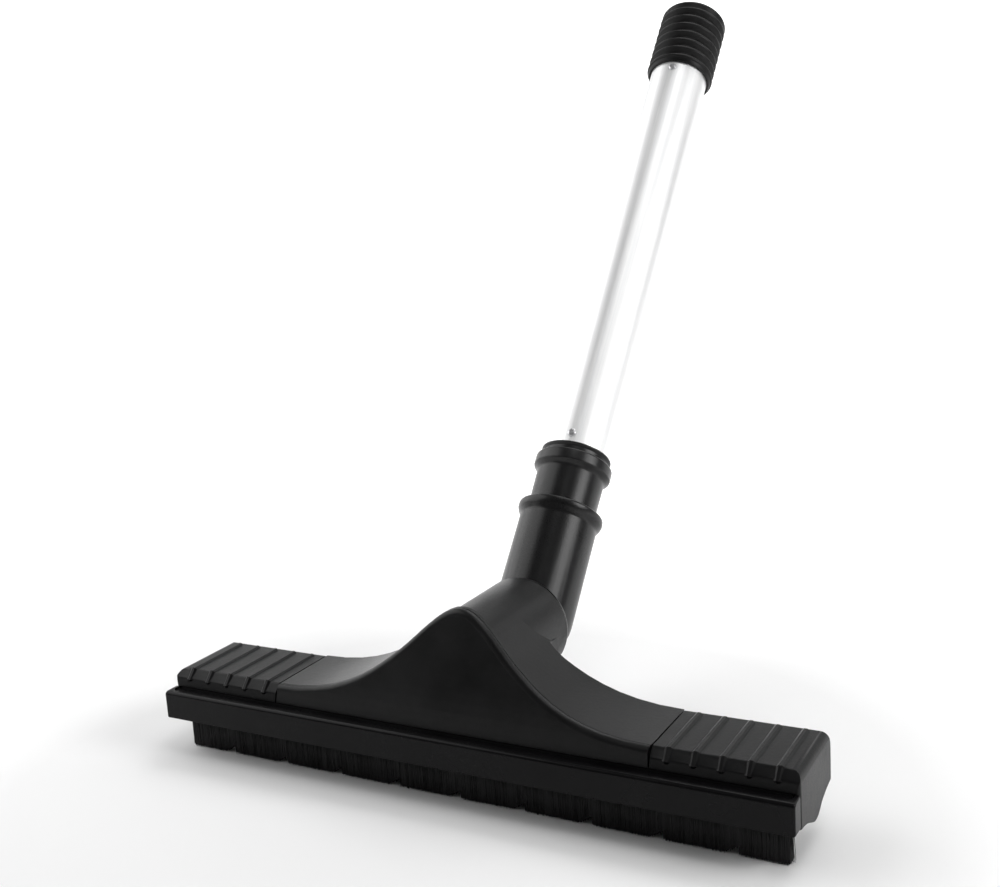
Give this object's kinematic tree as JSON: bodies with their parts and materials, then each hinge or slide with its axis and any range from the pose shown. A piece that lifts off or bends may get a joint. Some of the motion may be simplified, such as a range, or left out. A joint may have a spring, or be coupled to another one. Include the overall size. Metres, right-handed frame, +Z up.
{
  "type": "wet dry floor scrubber",
  "caption": "Wide wet-and-dry floor tool: a flared head with a front bristle strip and a rear squeegee, a swivelling elbow and a short aluminium wand with a ribbed cuff.",
  "frame": {"origin": "on the floor, at the middle of the whole tool seen from above; the head's front face is 206.1 mm in front of it", "axes": "+X along the head to the right as seen from its front, +Y from the front bar to the back, where the wand leans, +Z up from the floor"},
  "size_m": [0.36, 0.4123, 0.4161],
  "materials": {
    "shell_plastic": "fine textured black",
    "cap_plastic": "fine textured black",
    "bar_plastic": "satin black",
    "base_plastic": "matte black",
    "elbow_plastic": "semi-matte black",
    "spine_plastic": "dark grey",
    "bristle": "black nylon bristle",
    "blade_rubber": "matte",
    "cuff_rubber": "matte ribbed",
    "seal_rubber": "matte",
    "tube_aluminium": "satin anodised",
    "fastener_steel": "zinc plated"
  },
  "bodies": {
    "floor_head": {"upper_shell": "shell_plastic", "base_frame": "base_plastic", "front_bar": "bar_plastic", "front_brush_spine": "spine_plastic", "front_bristles": "bristle", "rear_blade_holder": "spine_plastic", "rear_squeegee_blade": "blade_rubber", "shell_screw_1": "fastener_steel", "shell_screw_2": "fastener_steel", "shell_screw_3": "fastener_steel", "shell_screw_4": "fastener_steel"},
    "left_cap": {"left_end_cap": "cap_plastic"},
    "right_cap": {"right_end_cap": "cap_plastic"},
    "elbow_part": {"elbow": "elbow_plastic", "elbow_snap_ring": "spine_plastic", "neck_seal_ring": "seal_rubber"},
    "socket_seal": {"socket_seal_ring": "seal_rubber"},
    "wand": {"wand_lower_fitting": "elbow_plastic", "aluminium_tube": "tube_aluminium", "lower_rivet_front": "fastener_steel", "lower_rivet_back": "fastener_steel", "upper_rivet_front": "fastener_steel", "upper_rivet_back": "fastener_steel", "cuff_inner_sleeve": "elbow_plastic", "ribbed_cuff": "cuff_rubber"}
  },
  "joints": [
    {"name": "elbow_swivel", "type": "hinge", "parent": "floor_head", "child": "elbow_part", "pos_m": [0, -0.09925, 0.0647], "axis": [0, 1, 0], "range_deg": [-90, 90]},
    {"name": "wand_twist", "type": "hinge", "parent": "elbow_part", "child": "socket_seal", "pos_m": [0, -0.09925, 0.0647], "axis": [0, 0.6508, 0.7593], "continuous": true},
    {"name": "wand_pull_out", "type": "slide", "parent": "socket_seal", "child": "wand", "axis": [0, 0.6508, 0.7593], "range_m": [0, 0.036]},
    {"name": "left_cap_slide", "type": "slide", "parent": "floor_head", "child": "left_cap", "axis": [-1, 0, 0], "range_m": [0, 0.012]},
    {"name": "right_cap_slide", "type": "slide", "parent": "floor_head", "child": "right_cap", "axis": [1, 0, 0], "range_m": [0, 0.012]}
  ]
}
